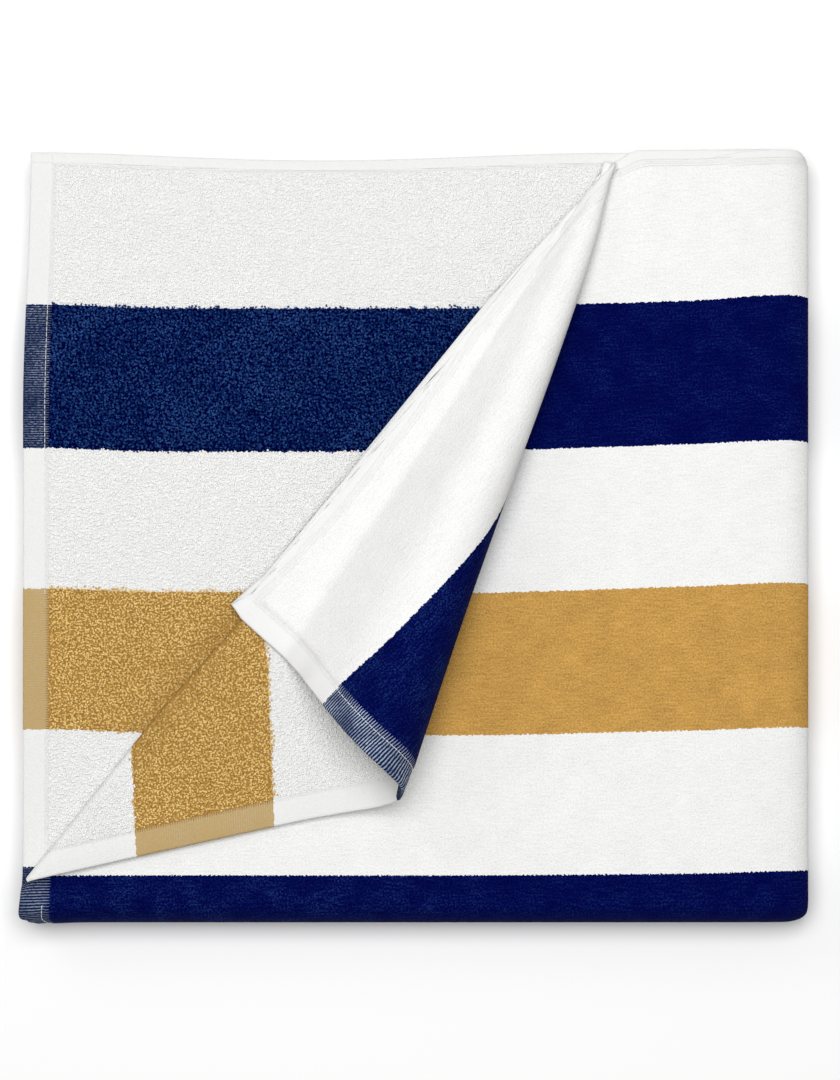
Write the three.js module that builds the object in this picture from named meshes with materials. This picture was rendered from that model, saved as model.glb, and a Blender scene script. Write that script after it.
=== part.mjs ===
// Beach towel with cabana stripes, folded into eight layers, the corner of its top layer turned back on itself.
// X runs along the towel to the right, Y across it to the selvages, Z up from the surface it rests on.
import * as THREE from "three";

// Cloth and folded size, in millimetres
const CLOTH = 2.8;
const HALF_X = 190;
const HALF_Y = 187;
const LAYERS_PER_HALF = 4;
const TOP_RANK = 2 * LAYERS_PER_HALF - 1;
const MIDDLE_RANK = TOP_RANK / 2;

// Air between layers: close in the middle, lofted at the folded edges
const GAP_MIDDLE = 0.55;
const GAP_FOLDED = 1.4;
const LOFT_REACH = { left: 55, right: 60, front: 70 };

// How far each bend reaches past the straight cloth it joins
const FRONT_BEND = 9.6;
const OUTER_BEND = 11;
const INNER_BEND = 3.4;
const LEFT_BEND = 3.4;
const FRONT_BEND_Y = -HALF_Y + CLOTH / 2 + FRONT_BEND;
const OUTER_BEND_X = HALF_X - CLOTH / 2 - OUTER_BEND;
const INNER_BEND_X = OUTER_BEND_X + 1;
const LEFT_BEND_X = -HALF_X + CLOTH / 2 + LEFT_BEND + 2;

// Legs and bends of the lengthwise fold, from the top end of the towel to its other end
// depth counts layers down from the outside of the half stack
const LENGTHWISE = [
  { kind: "leg", depth: 0, from: -HALF_X, to: OUTER_BEND_X, steps: 12 },
  { kind: "bend", depth: 0, into: 3, centre: OUTER_BEND_X, reach: OUTER_BEND, steps: 8 },
  { kind: "leg", depth: 3, from: OUTER_BEND_X, to: LEFT_BEND_X, steps: 7 },
  { kind: "bend", depth: 3, into: 2, centre: LEFT_BEND_X, reach: -LEFT_BEND, steps: 6 },
  { kind: "leg", depth: 2, from: LEFT_BEND_X, to: INNER_BEND_X, steps: 7 },
  { kind: "bend", depth: 2, into: 1, centre: INNER_BEND_X, reach: INNER_BEND, steps: 6 },
  { kind: "leg", depth: 1, from: INNER_BEND_X, to: -HALF_X, steps: 11 },
];

// Legs and bend of the fold across the width, from the top selvage round the front to the bottom selvage
const CROSSWISE = [
  { kind: "leg", turn: 0, from: HALF_Y, to: FRONT_BEND_Y, steps: 11 },
  { kind: "bend", turn: 0, into: Math.PI, centre: FRONT_BEND_Y, steps: 10 },
  { kind: "leg", turn: Math.PI, from: FRONT_BEND_Y, to: HALF_Y, steps: 9 },
];

// Uneven lie of the eight layers, bottom one first: shift of the left end and of the selvage, in millimetres
const LIE = [
  { end: 1.5, selvage: -2.5 },
  { end: 3.5, selvage: -1.0 },
  { end: 2.0, selvage: -4.0 },
  { end: 2.5, selvage: -2.0 },
  { end: 3.0, selvage: -3.5 },
  { end: 2.0, selvage: -1.5 },
  { end: 0.0, selvage: -1.0 },
  { end: 0.0, selvage: 0.0 },
];
const SAG = { depth: 3.6, length: 1.5 * HALF_X };
const CORNER_DRAW = { pull: 3.8, from: 60, over: 126 };
const RIGHT_RISE = { height: 17, from: 10, over: 175 };

// Plan radius of the corners of the stack; the two bends round the fourth one by themselves
const CORNERS = [
  { x: -1, y: -1, radius: 8 },
  { x: 1, y: 1, radius: 7 },
  { x: -1, y: 1, radius: 3 },
];

// The turned-back corner: rays run out from a point just beyond the selvage
const APEX = { x: 101.85, y: 194.4 };
// The top layer is gathered at that point and bowed in along the turned-back edge, by distance and plan angle from it
const GATHER = { x: -6, y: -7, reach: 45, angle: 1.3, over: 0.9 };
const BOW = { x: 3.34, y: -2.86, from: 95, over: 60, angle: 0.87, reach: 28 };
const BOW_EASE = { share: 0.23, from: 170, over: 110 };
const BOW_END = { from: 290, over: 80 };
// The front left corner spreads a little
const SPREAD = { x: -2.4, y: -1.6, reachX: 16, reachY: 14 };
const APEX_U = APEX.x + HALF_X;
const APEX_V = APEX.y - HALF_Y;
const CREASE_ANGLE = Math.atan2(APEX.y - FRONT_BEND_Y, APEX_U);
const REST_ON = CLOTH + 0.5;
// Near the apex the crease is drawn in under the turned-back corner
const DRAW_IN = { crease: 7.5, back: 3.4, from: 70, over: 190, spread: 0.7 };
// On the flap the loose end is pulled past its straight line; angles are in the flat cloth
const END_PULL = { length: 6.6, from: 0.36, over: 0.3 };
const FALL = THREE.MathUtils.degToRad(46);

// Bends and runs met on the way from the lying cloth to the free selvage
// length of each is atApex + perMm * distance from the apex
const ROLL = { atApex: 8.5, perMm: 0.37 };
const EASE = { atApex: 0, perMm: 0.04 };
const rollRise = meanSine(0, Math.PI + FALL);
const easeDrop = meanSine(FALL, -FALL);
const TURN_BACK = [
  { part: "crease", turn: Math.PI, atApex: 7.7, perMm: 0.0097, steps: 7 },
  { part: "return", turn: 0, atApex: -5.2, perMm: 0.225, steps: 3 },
  { part: "roll", turn: -(Math.PI + FALL), atApex: ROLL.atApex, perMm: ROLL.perMm, steps: 12 },
  {
    part: "fall",
    turn: 0,
    atApex: (rollRiseTo(ROLL.atApex) - REST_ON) / Math.sin(FALL),
    perMm: (rollRiseTo(ROLL.perMm) - easeDrop * EASE.perMm) / Math.sin(FALL),
    steps: 3,
  },
  { part: "ease", turn: FALL, atApex: EASE.atApex, perMm: EASE.perMm, steps: 3 },
];
const TIP_STEPS = 4;
const STATIONS = [0, 0.08, 0.2, 0.34, 0.48, 0.62, 0.76, 0.88, 0.96, 1];

function soft(t) {
  return t * t * (3 - 2 * t);
}

// Mean sine of the heading along a bend that starts at one heading and turns softly
function meanSine(start, turn) {
  const parts = 200;
  let sum = 0;
  for (let i = 0; i < parts; i++) sum += Math.sin(start + turn * soft((i + 0.5) / parts));
  return sum / parts;
}

function rollRiseTo(length) {
  return rollRise * length;
}

// Even steps drawn towards both ends, so that the corners have enough points
function toEnds(t) {
  return THREE.MathUtils.lerp(t, soft(soft(t)), 0.65);
}

function clamp01(t) {
  return Math.min(1, Math.max(0, t));
}

function softStep(value, from, over) {
  return soft(clamp01((value - from) / over));
}

function bump(distance, reach) {
  return Math.exp(-((distance / reach) ** 2));
}

// Height from one layer to the next, over the plan
function pitchAt(x, y) {
  const flat =
    (1 - 0.8 * bump(x + HALF_X, LOFT_REACH.left)) *
    (1 - bump(HALF_X - x, LOFT_REACH.right)) *
    (1 - bump(y + HALF_Y, LOFT_REACH.front));
  return CLOTH + GAP_FOLDED + (GAP_MIDDLE - GAP_FOLDED) * flat;
}

function lieAt(rank, column) {
  const low = Math.min(TOP_RANK - 1, Math.max(0, Math.floor(rank)));
  return THREE.MathUtils.lerp(LIE[low][column], LIE[low + 1][column], rank - low);
}

// Uneven edges and rounded corners of the stack, in plan
function settle(x, y, rank) {
  const toLeft = clamp01((HALF_X - x) / (2 * HALF_X));
  const toBack = clamp01((y + HALF_Y) / (2 * HALF_Y));
  const under = clamp01(TOP_RANK - rank);
  const draw = CORNER_DRAW.pull * under * softStep(y, CORNER_DRAW.from, CORNER_DRAW.over);
  const sag = SAG.depth * under * Math.sin(Math.PI * clamp01((x + HALF_X) / SAG.length)) ** 2;
  const toRight = softStep(x, RIGHT_RISE.from, RIGHT_RISE.over);
  const rise = RIGHT_RISE.height * clamp01(rank / TOP_RANK) * toRight * toBack * (1 - toBack);
  let px = x + (lieAt(rank, "end") + draw) * toLeft ** 2;
  let py = y + (lieAt(rank, "selvage") - sag) * toBack ** 2 + rise;
  for (const corner of CORNERS) {
    const dx = corner.x * px - (HALF_X - corner.radius);
    const dy = corner.y * py - (HALF_Y - corner.radius);
    if (dx > 0 && dy > 0) {
      const inward = Math.max(dx, dy) / Math.hypot(dx, dy);
      px += corner.x * dx * (inward - 1);
      py += corner.y * dy * (inward - 1);
    }
  }
  const spread = bump(px + HALF_X, SPREAD.reachX) * bump(py + HALF_Y, SPREAD.reachY);
  px += spread * SPREAD.x;
  py += spread * SPREAD.y;
  const onTop = clamp01(rank - TOP_RANK + 1);
  const far = Math.hypot(APEX.x - x, APEX.y - y);
  const turn = Math.atan2(APEX.y - y, APEX.x - x);
  const gather = onTop * bump(far, GATHER.reach) * (1 - softStep(turn, GATHER.angle, GATHER.over));
  const eased = softStep(far, BOW.from, BOW.over) - BOW_EASE.share * softStep(far, BOW_EASE.from, BOW_EASE.over);
  const ended = 1 - softStep(far, BOW_END.from, BOW_END.over);
  const bow = onTop * eased * ended * bump(far * Math.sin(turn - BOW.angle), BOW.reach);
  return [px + gather * GATHER.x + bow * BOW.x, py + gather * GATHER.y + bow * BOW.y];
}

function place(x, y, rank, lift) {
  const [px, py] = settle(x, y, rank);
  return new THREE.Vector3(px, py, CLOTH / 2 + rank * pitchAt(px, py) + lift);
}

// Points along a fold from its legs and bends
function lengthwiseColumns() {
  const columns = [];
  for (const row of LENGTHWISE) {
    for (let i = columns.length ? 1 : 0; i <= row.steps; i++) {
      const t = i / row.steps;
      if (row.kind === "leg") {
        columns.push({ x: row.from + (row.to - row.from) * toEnds(t), depth: row.depth });
      } else {
        const swing = Math.PI * t;
        columns.push({
          x: row.centre + row.reach * Math.sin(swing),
          depth: row.depth + ((row.into - row.depth) * (1 - Math.cos(swing))) / 2,
        });
      }
    }
  }
  return columns;
}

function crosswiseRows() {
  const rows = [];
  for (const row of CROSSWISE) {
    for (let i = rows.length ? 1 : 0; i <= row.steps; i++) {
      const t = i / row.steps;
      if (row.kind === "leg") rows.push({ y: row.from + (row.to - row.from) * toEnds(t), turn: row.turn });
      else rows.push({ y: row.centre, turn: row.turn + (row.into - row.turn) * t });
    }
  }
  return rows;
}

function stackPoint(column, row) {
  const share = (MIDDLE_RANK - column.depth) / MIDDLE_RANK;
  const y = row.y - FRONT_BEND * share * Math.sin(row.turn);
  return place(column.x, y, MIDDLE_RANK + (MIDDLE_RANK - column.depth) * Math.cos(row.turn), 0);
}

// Lines of the turned-back corner: running totals of cloth used, plan travel and rise
function turnBackLines() {
  const lines = [{ used: [0, 0], travel: [0, 0], rise: [0, 0], returned: 0 }];
  const parts = 12;
  let heading = Math.PI;
  for (const row of TURN_BACK) {
    for (let step = 0; step < row.steps; step++) {
      const last = lines[lines.length - 1];
      const line = { used: [...last.used], travel: [...last.travel], rise: [...last.rise], returned: last.returned };
      if (row.part === "return") line.returned += 1 / row.steps;
      for (let i = 0; i < parts; i++) {
        const t = (step + (i + 0.5) / parts) / row.steps;
        const along = heading - row.turn * soft(t);
        [row.atApex, row.perMm].forEach((length, k) => {
          const piece = length / (row.steps * parts);
          line.used[k] += piece;
          line.travel[k] += piece * Math.cos(along);
          line.rise[k] += piece * Math.sin(along);
        });
      }
      lines.push(line);
    }
    heading -= row.turn;
  }
  const cornerAngle = Math.atan2(APEX_V, APEX_U + END_PULL.length);
  const cornerAt = Math.hypot(APEX_V, APEX_U + END_PULL.length);
  const last = lines[lines.length - 1];
  const tip = CREASE_ANGLE - cornerAngle - last.used[1] - last.used[0] / cornerAt;
  for (let step = 1; step <= TIP_STEPS; step++) {
    const run = (tip * step) / TIP_STEPS;
    lines.push({
      used: [last.used[0], last.used[1] + run],
      travel: [last.travel[0], last.travel[1] - run],
      rise: [...last.rise],
      returned: last.returned,
    });
  }
  return lines;
}

function drawnIn(r) {
  return 1 - softStep(r, DRAW_IN.from, DRAW_IN.over);
}

// Where the crease starts at a distance from the apex, as an angle
function creaseStart(r) {
  return CREASE_ANGLE + (DRAW_IN.crease * drawnIn(r)) / r;
}

function flatAngle(line, r) {
  return creaseStart(r) - line.used[1] - (line.used[0] - DRAW_IN.back * line.returned * drawnIn(r)) / r;
}

// How far the end hem lies past its straight line, at an angle in the flat cloth
function endReach(angle) {
  return END_PULL.length * (1 - softStep(angle, END_PULL.from, END_PULL.over));
}

function lyingAngle(angle, r) {
  const share = 1 - clamp01((angle - CREASE_ANGLE) / DRAW_IN.spread);
  return angle + (share * DRAW_IN.crease * drawnIn(r)) / r;
}

// Distance from the apex at which a rising measure passes zero
function crossing(measure, near, far) {
  let low = near;
  let high = far;
  for (let i = 0; i < 60; i++) {
    const middle = (low + high) / 2;
    if (measure(middle) < 0) low = middle;
    else high = middle;
  }
  return (low + high) / 2;
}

function turnBackPoint(line, r) {
  const angle = creaseStart(r) + line.travel[1] + (line.travel[0] - DRAW_IN.back * line.returned * drawnIn(r)) / r;
  const x = APEX.x - r * Math.cos(angle);
  const y = APEX.y - r * Math.sin(angle);
  return place(x, y, TOP_RANK, line.rise[0] + r * line.rise[1]);
}

// Mid surface of the cloth: points and triangles
const points = [];
const triangles = [];

function addPoint(point) {
  points.push(point);
  return points.length - 1;
}

function addQuad(a, b, c, d) {
  for (const [p, q, s] of [[a, b, c], [a, c, d]]) {
    if (p !== q && q !== s && s !== p) triangles.push([p, q, s]);
  }
}

const columns = lengthwiseColumns();
const rows = crosswiseRows();
const topColumns = LENGTHWISE[0].steps;
const topRows = CROSSWISE[0].steps;
const grid = columns.map((column, i) =>
  rows.map((row, j) => (i < topColumns && j < topRows ? -1 : addPoint(stackPoint(column, row)))),
);
for (let i = 0; i + 1 < columns.length; i++) {
  for (let j = 0; j + 1 < rows.length; j++) {
    if (i < topColumns && j < topRows) continue;
    addQuad(grid[i][j], grid[i][j + 1], grid[i + 1][j + 1], grid[i + 1][j]);
  }
}

// Top layer: rays from the selvage to the end hem, the front bend and the right bend
const rays = [];
for (const line of turnBackLines().reverse()) {
  const inner = crossing((r) => r * Math.sin(flatAngle(line, r)) - APEX_V, APEX_V, 600);
  const pastHem = (r) => r * Math.cos(flatAngle(line, r)) - APEX_U - endReach(flatAngle(line, r));
  const outer = crossing(pastHem, APEX_U, 700);
  const isCrease = line.used[0] === 0;
  rays.push(
    STATIONS.map((s) =>
      s === 1 && isCrease ? grid[0][topRows] : addPoint(turnBackPoint(line, inner + (outer - inner) * s)),
    ),
  );
}
const rim = [];
for (let i = 1; i <= topColumns; i++) rim.push({ x: columns[i].x, y: FRONT_BEND_Y, index: grid[i][topRows] });
for (let j = topRows - 1; j >= 0; j--) rim.push({ x: OUTER_BEND_X, y: rows[j].y, index: grid[topColumns][j] });
for (const end of rim) {
  const straight = Math.atan2(APEX.y - end.y, APEX.x - end.x);
  const outer = Math.hypot(APEX.y - end.y, APEX.x - end.x);
  const inner = crossing((r) => r * Math.sin(lyingAngle(straight, r)) - APEX_V, APEX_V, outer);
  rays.push(
    STATIONS.map((s) => {
      if (s === 1 || end.y === HALF_Y) return end.index;
      const r = inner + (outer - inner) * s;
      const angle = lyingAngle(straight, r);
      return addPoint(place(APEX.x - r * Math.cos(angle), APEX.y - r * Math.sin(angle), TOP_RANK, 0));
    }),
  );
}
const corner = rays[0][0];
rays[0] = rays[0].map(() => corner);
for (let k = 0; k + 1 < rays.length; k++) {
  for (let s = 0; s + 1 < STATIONS.length; s++) {
    addQuad(rays[k][s], rays[k][s + 1], rays[k + 1][s + 1], rays[k + 1][s]);
  }
}

// Give the mid surface its thickness: both faces along the normals and a wall round the free edge
function thicken(midPoints, faces, thickness) {
  const normals = midPoints.map(() => new THREE.Vector3());
  for (const face of faces) {
    for (let k = 0; k < 3; k++) {
      const [a, b, c] = [0, 1, 2].map((n) => midPoints[face[(k + n) % 3]]);
      const ab = new THREE.Vector3().subVectors(b, a);
      const ac = new THREE.Vector3().subVectors(c, a);
      normals[face[k]].addScaledVector(new THREE.Vector3().crossVectors(ab, ac).normalize(), ab.angleTo(ac));
    }
  }
  const used = new Map();
  const position = [];
  const index = [];
  const pair = (p) => {
    if (!used.has(p)) {
      const n = normals[p].normalize();
      used.set(p, used.size);
      for (const side of [1, -1]) {
        const at = midPoints[p].clone().addScaledVector(n, (side * thickness) / 2);
        position.push(at.x, at.y, at.z);
      }
    }
    return used.get(p) * 2;
  };
  const edges = new Map();
  for (const face of faces) {
    const [a, b, c] = face.map(pair);
    index.push(a, b, c, a + 1, c + 1, b + 1);
    for (let k = 0; k < 3; k++) {
      const [p, q] = [face[k], face[(k + 1) % 3]];
      const opposite = `${q},${p}`;
      if (edges.has(opposite)) edges.delete(opposite);
      else edges.set(`${p},${q}`, [pair(p), pair(q)]);
    }
  }
  for (const [a, b] of edges.values()) index.push(a, a + 1, b + 1, a, b + 1, b);
  const geometry = new THREE.BufferGeometry();
  geometry.setAttribute("position", new THREE.Float32BufferAttribute(position, 3));
  geometry.setIndex(index);
  geometry.computeVertexNormals();
  return geometry;
}

const cotton = new THREE.MeshStandardMaterial({ color: "#eceae4", roughness: 0.95, metalness: 0 });
const cloth = thicken(points, triangles, CLOTH);
cloth.computeBoundingBox();
const middle = cloth.boundingBox.getCenter(new THREE.Vector3());
cloth.translate(-middle.x, -middle.y, 0);
const towel = new THREE.Mesh(cloth, cotton);
towel.name = "towel";

const root = new THREE.Group();
root.name = "beach_towel";
root.add(towel);

export default root;
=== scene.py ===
import math

import bpy
import numpy as np
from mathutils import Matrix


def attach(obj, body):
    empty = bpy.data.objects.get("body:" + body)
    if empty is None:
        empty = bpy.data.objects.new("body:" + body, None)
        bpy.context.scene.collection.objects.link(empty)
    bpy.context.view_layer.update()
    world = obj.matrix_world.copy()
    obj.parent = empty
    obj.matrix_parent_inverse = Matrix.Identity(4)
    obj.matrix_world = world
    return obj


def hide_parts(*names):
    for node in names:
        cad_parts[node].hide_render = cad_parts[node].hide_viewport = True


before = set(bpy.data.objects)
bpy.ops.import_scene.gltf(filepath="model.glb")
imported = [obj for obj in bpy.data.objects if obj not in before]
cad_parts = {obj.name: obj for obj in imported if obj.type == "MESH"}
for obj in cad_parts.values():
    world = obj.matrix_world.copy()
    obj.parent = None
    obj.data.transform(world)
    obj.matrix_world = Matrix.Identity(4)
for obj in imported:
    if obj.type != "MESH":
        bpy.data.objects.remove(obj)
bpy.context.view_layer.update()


# Table top, light and camera
# The towel lies on a plain white table in a pale room, under a large soft lamp and a weak one at the left.
# The camera hangs over it and looks straight down.

NODE_STEP = 200


def node(tree, kind, **values):
    """One shader node, beside the last, with its properties, or inputs of the same name, set."""
    made = tree.nodes.new(kind)
    made.location.x = NODE_STEP * len(tree.nodes)
    for key, value in values.items():
        if hasattr(made, key):
            setattr(made, key, value)
        else:
            made.inputs[key].default_value = value
    return made


def linear(red, green, blue):
    """Scene colour of a screen colour given from 0 to 255."""
    parts = np.array([red, green, blue]) / 255
    low = parts / 12.92
    high = ((parts + 0.055) / 1.055) ** 2.4
    return (*np.where(parts <= 0.04045, low, high).tolist(), 1.0)


def new_finish(name):
    """New material, with its node tree and the inputs of its shader."""
    finish = bpy.data.materials.new(name)
    finish.use_nodes = True
    return finish, finish.node_tree, finish.node_tree.nodes["Principled BSDF"].inputs


FRAME_ROWS = 1080
METRES_PER_ROW = 0.000482
SENSOR = 24.0
CAMERA_AT = (0.0028, -0.0010, 1.90)
CLOTH_TOP = 0.031
TABLE_SIDE = 6.0
ROOM_LIGHT = 0.225

eye = bpy.data.cameras.new("overhead")
eye.sensor_fit = "VERTICAL"
eye.sensor_height = SENSOR
eye.lens = SENSOR * (CAMERA_AT[2] - CLOTH_TOP) / (FRAME_ROWS * METRES_PER_ROW)
eye_object = bpy.data.objects.new("overhead", eye)
eye_object.location = CAMERA_AT
bpy.context.scene.collection.objects.link(eye_object)
bpy.context.scene.camera = eye_object

table = bpy.data.meshes.new("table_top")
table_corners = [(x * TABLE_SIDE, y * TABLE_SIDE, 0) for x, y in ((-1, -1), (1, -1), (1, 1), (-1, 1))]
table.from_pydata(table_corners, [], [(0, 1, 2, 3)])
table_object = bpy.data.objects.new("table_top", table)
bpy.context.scene.collection.objects.link(table_object)
table_white, _, table_shader = new_finish("table_white")
table_shader["Base Color"].default_value = (0.93, 0.93, 0.93, 1)
table_shader["Roughness"].default_value = 0.9
table.materials.append(table_white)

# Both lamps point at the middle of the table
for name, spot, size, watts in (
    ("lamp_over", (-0.05, 0.25, 1.75), 1.1, 30.4),
    ("lamp_left", (-1.3, 1.2, 1.3), 0.9, 4.4),
):
    lamp = bpy.data.lights.new(name, "AREA")
    lamp.shape = "SQUARE"
    lamp.size = size
    lamp.energy = watts
    lamp_object = bpy.data.objects.new(name, lamp)
    lamp_object.location = spot
    lamp_object.rotation_euler = (
        math.atan2(math.hypot(spot[0], spot[1]), spot[2]), 0, math.atan2(spot[0], -spot[1]))
    bpy.context.scene.collection.objects.link(lamp_object)

room = bpy.data.worlds.new("pale_room")
room.use_nodes = True
room.node_tree.nodes["Background"].inputs["Color"].default_value = (1, 1, 1, 1)
room.node_tree.nodes["Background"].inputs["Strength"].default_value = ROOM_LIGHT
bpy.context.scene.world = room
bpy.context.scene.view_settings.view_transform = "Standard"


# Towel cloth
# One woven cotton sheet, 762 by 1524 mm, sheared velour on the face and loops on the back, with turned hems.
# It is quartered along its length, halved across its width, and a corner of the top layer is turned back.

# Millimetres and radians; a span is where a change starts and how far it runs, a reach a bell curve's width
CLOTH = 2.8
HALF_X = 190.0
HALF_Y = 187.0
TOP_RANK = 7
MIDDLE_RANK = 3.5
FRONT_BEND = 9.6
FRONT_BEND_Y = -HALF_Y + CLOTH / 2 + FRONT_BEND
FRONT_HALF_HEIGHT = 14.7
OUTER_BEND = 11.0
OUTER_BEND_X = HALF_X - CLOTH / 2 - OUTER_BEND
INNER_BEND = 3.4
INNER_BEND_X = OUTER_BEND_X + 1
LEFT_BEND = 3.4
LEFT_BEND_X = -HALF_X + CLOTH / 2 + LEFT_BEND + 2
LAYER_STEP = 4.2
FOOT_MIDDLE = np.array([-0.8738, -0.3560, 0.0])
END_SHIFT = np.array([1.5, 3.5, 2.0, 2.5, 3.0, 2.0, 0.0, 0.0])
SELVAGE_SHIFT = np.array([-2.5, -1.0, -4.0, -2.0, -3.5, -1.5, -1.0, 0.0])
CORNERS = ((-1, -1, 8.0), (1, 1, 7.0), (-1, 1, 3.0))
APEX = (101.85, 194.4)
LOFT = 1.4
LOFT_LOST = 0.85
LOFT_LEFT_SHARE = 0.8
LOFT_LEFT_REACH, LOFT_RIGHT_REACH, LOFT_FRONT_REACH = 55, 60, 70
DROOP = 0.55
DROOP_SPAN = (155, 35)
SAG = 3.6
SAG_LENGTH = 1.5 * HALF_X
CORNER_DRAW = 3.8
CORNER_DRAW_SPAN = (60, 126)
RIGHT_RISE = 17
RIGHT_RISE_SPAN = (10, 175)
GATHER = (-6.0, -7.0)
GATHER_REACH = 45
GATHER_SPAN = (1.3, 0.9)
BOW = (0.76, -0.65)
BOW_DEPTH = 4.4
BOW_SPAN = (95, 60)
BOW_EASE_SPAN = (170, 110)
BOW_END_SPAN = (290, 80)
BOW_ANGLE = 0.87
BOW_REACH = 28
SPREAD = (-2.4, -1.6)
SPREAD_REACH = (16, 14)


def soft(t):
    """Smooth step from 0 to 1."""
    t = np.clip(t, 0, 1)
    return t * t * (3 - 2 * t)


def rising(value, start, over):
    """Smooth step from 0 at a start to 1 where the span is over."""
    return soft((value - start) / over)


def bell(value, reach):
    """Bell curve: 1 at zero, falling off over a reach to either side."""
    return np.exp(-((value / reach) ** 2))


def pitch(x, y):
    """Height from one layer to the next: close in the middle, lofted along the folded edges by three bell
    curves, the right edge drooping a little."""
    flat = ((1 - LOFT_LEFT_SHARE * bell(x + HALF_X, LOFT_LEFT_REACH))
            * (1 - bell(HALF_X - x, LOFT_RIGHT_REACH))
            * (1 - bell(y + HALF_Y, LOFT_FRONT_REACH)))
    droop = DROOP * np.clip((x - DROOP_SPAN[0]) / DROOP_SPAN[1], 0, 1) ** 2
    return CLOTH + LOFT - LOFT_LOST * flat - droop


def settle(x, y, rank):
    """Plan place of a point of the stack: each layer's ends shifted, the top rising to the right, corners
    rounded. The top layer is gathered at the apex and bowed in along the turned-back edge, and the front left
    corner spreads."""
    to_left = np.clip((HALF_X - x) / (2 * HALF_X), 0, 1)
    to_back = np.clip((y + HALF_Y) / (2 * HALF_Y), 0, 1)
    under = np.clip(TOP_RANK - rank, 0, 1)
    draw = CORNER_DRAW * under * rising(y, *CORNER_DRAW_SPAN)
    sag = SAG * under * np.sin(np.pi * np.clip((x + HALF_X) / SAG_LENGTH, 0, 1)) ** 2
    to_right = rising(x, *RIGHT_RISE_SPAN)
    rise = RIGHT_RISE * np.clip(rank / TOP_RANK, 0, 1) * to_right * to_back * (1 - to_back)
    ranks = np.arange(TOP_RANK + 1)
    px = x + (np.interp(rank, ranks, END_SHIFT) + draw) * to_left ** 2
    py = y + (np.interp(rank, ranks, SELVAGE_SHIFT) - sag) * to_back ** 2 + rise
    for sx, sy, radius in CORNERS:
        dx = sx * px - (HALF_X - radius)
        dy = sy * py - (HALF_Y - radius)
        both = (dx > 0) & (dy > 0)
        inward = np.where(both, np.maximum(dx, dy) / np.maximum(np.hypot(dx, dy), 1e-9), 1) - 1
        px = px + sx * dx * inward
        py = py + sy * dy * inward
    far = np.hypot(APEX[0] - x, APEX[1] - y)
    turn = np.arctan2(APEX[1] - y, APEX[0] - x)
    on_top = np.clip(rank - (TOP_RANK - 1), 0, 1)
    gather = on_top * bell(far, GATHER_REACH) * (1 - rising(turn, *GATHER_SPAN))
    deep = BOW_DEPTH * rising(far, *BOW_SPAN) - rising(far, *BOW_EASE_SPAN)
    bow = (on_top * deep * (1 - rising(far, *BOW_END_SPAN))
           * bell(far * np.sin(turn - BOW_ANGLE), BOW_REACH))
    spread = bell(px + HALF_X, SPREAD_REACH[0]) * bell(py + HALF_Y, SPREAD_REACH[1])
    return (px + GATHER[0] * gather + BOW[0] * bow + SPREAD[0] * spread,
            py + GATHER[1] * gather + BOW[1] * bow + SPREAD[1] * spread)


# Soft ridges and troughs pressed into the upper layers: both ends of each line, its height and its reach
PRESSED = np.array([
    (-176, 150, -60, 172, 0.9, 16), (-170, 60, -30, 78, 0.7, 22), (-160, -20, -70, 8, -0.6, 20),
    (120, 168, 172, 60, 0.8, 18), (60, -60, 176, -36, 0.9, 20), (100, 10, 150, 120, -0.7, 22),
    (-60, -150, 90, -142, 0.6, 16), (40, -120, 170, -128, -0.6, 18), (-184, 120, -180, -60, -0.5, 10),
])


def pressed(x, y):
    """Sum of soft bells about the pressed lines, each falling off with the distance from its line."""
    total = np.zeros(np.shape(x))
    for x0, y0, x1, y1, height, reach in PRESSED:
        run = np.array([x1 - x0, y1 - y0])
        t = np.clip(((x - x0) * run[0] + (y - y0) * run[1]) / (run @ run), 0, 1)
        gap = np.hypot(x - x0 - t * run[0], y - y0 - t * run[1])
        total = total + height * bell(gap, reach)
    return total


def lay(x, y, rank, lift):
    """Point of the mid surface: settled plan place, layer height, pressed lines and extra lift."""
    px, py = settle(x, y, rank)
    upper = np.clip(rank / TOP_RANK, 0, 1) ** 3
    z = CLOTH / 2 + rank * pitch(px, py) + lift + pressed(px, py) * upper
    return np.stack([px, py, z], axis=-1) - FOOT_MIDDLE


# Distances from an end and from a selvage at which the hem needs a line of points
END_LINES = np.array([0, 0.25, 0.7, 1.3, 6.0, 10.6, 11.5, 12.5, 13.5])
SIDE_LINES = np.array([0, 0.25, 0.7, 1.3, 4.9, 5.8, 6.8])
END_STITCH = 5
SIDE_STITCH = 4


def run_of(start, end, count, near=np.zeros(1), far=np.zeros(1)):
    """Places along a straight leg: given distances from either end, even steps between them."""
    way = np.sign(end - start)
    head = start + way * near
    tail = end - way * far
    between = np.linspace(head[-1], tail[-1], count + 1)[1:-1]
    return np.concatenate([head, between, tail[::-1]])


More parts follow.
